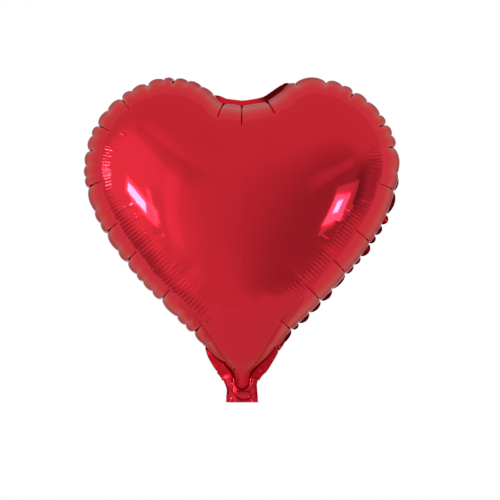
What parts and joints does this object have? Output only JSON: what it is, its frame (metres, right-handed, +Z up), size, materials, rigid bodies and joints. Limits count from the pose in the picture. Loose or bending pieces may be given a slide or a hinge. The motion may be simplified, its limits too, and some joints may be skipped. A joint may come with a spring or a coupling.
{
  "type": "foil balloon",
  "caption": "Heart-shaped red metallic foil balloon, inflated, with a crimped seam flange, a flat filling tail that folds, and a self-closing film valve in its neck.",
  "frame": {"origin": "the point on the centre line just under the inflated tip, where a ribbon is tied round the neck", "axes": "+Z up from the neck to the lobes, -Y out of the front panel, +X to the right seen from the front"},
  "size_m": [0.3778, 0.178, 0.3893],
  "materials": {
    "red_foil": "red metallised film, mirror bright, finely creased towards the seam",
    "sealed_foil": "two heat-sealed layers of red metallised film, slightly dulled and crimped",
    "clear_film": "clear polyethylene film",
    "welded_film": "polyethylene film melted onto the foil",
    "release_ink": "matte heat-resistant ink"
  },
  "bodies": {
    "envelope": {"front_panel": "red_foil", "back_panel": "red_foil", "seam_flange": "sealed_foil", "valve_front_weld": "welded_film", "valve_back_weld": "welded_film", "release_ink": "release_ink"},
    "tail": {"tail_front_film": "red_foil", "tail_back_film": "red_foil", "tail_left_seal": "sealed_foil", "tail_right_seal": "sealed_foil"},
    "valve_front_lip": {"valve_front_film": "clear_film"},
    "valve_back_lip": {"valve_back_film": "clear_film"}
  },
  "joints": [
    {"name": "tail_fold", "type": "hinge", "parent": "envelope", "child": "tail", "pos_m": [0, 0, -0.0026], "axis": [1, 0, 0], "range_deg": [-80, 80]},
    {"name": "valve_front_open", "type": "hinge", "parent": "envelope", "child": "valve_front_lip", "pos_m": [0, -0.0005, 0.005], "axis": [1, 0, 0], "range_deg": [0, 5], "stiffness_Nm_per_rad": 0.001},
    {"name": "valve_back_open", "type": "hinge", "parent": "envelope", "child": "valve_back_lip", "pos_m": [0, 0.0005, 0.005], "axis": [1, 0, 0], "range_deg": [-5, 0], "stiffness_Nm_per_rad": 0.001}
  ],
  "couplings": [
    {"joint": "valve_back_open", "follows": "valve_front_open", "ratio": -1}
  ]
}
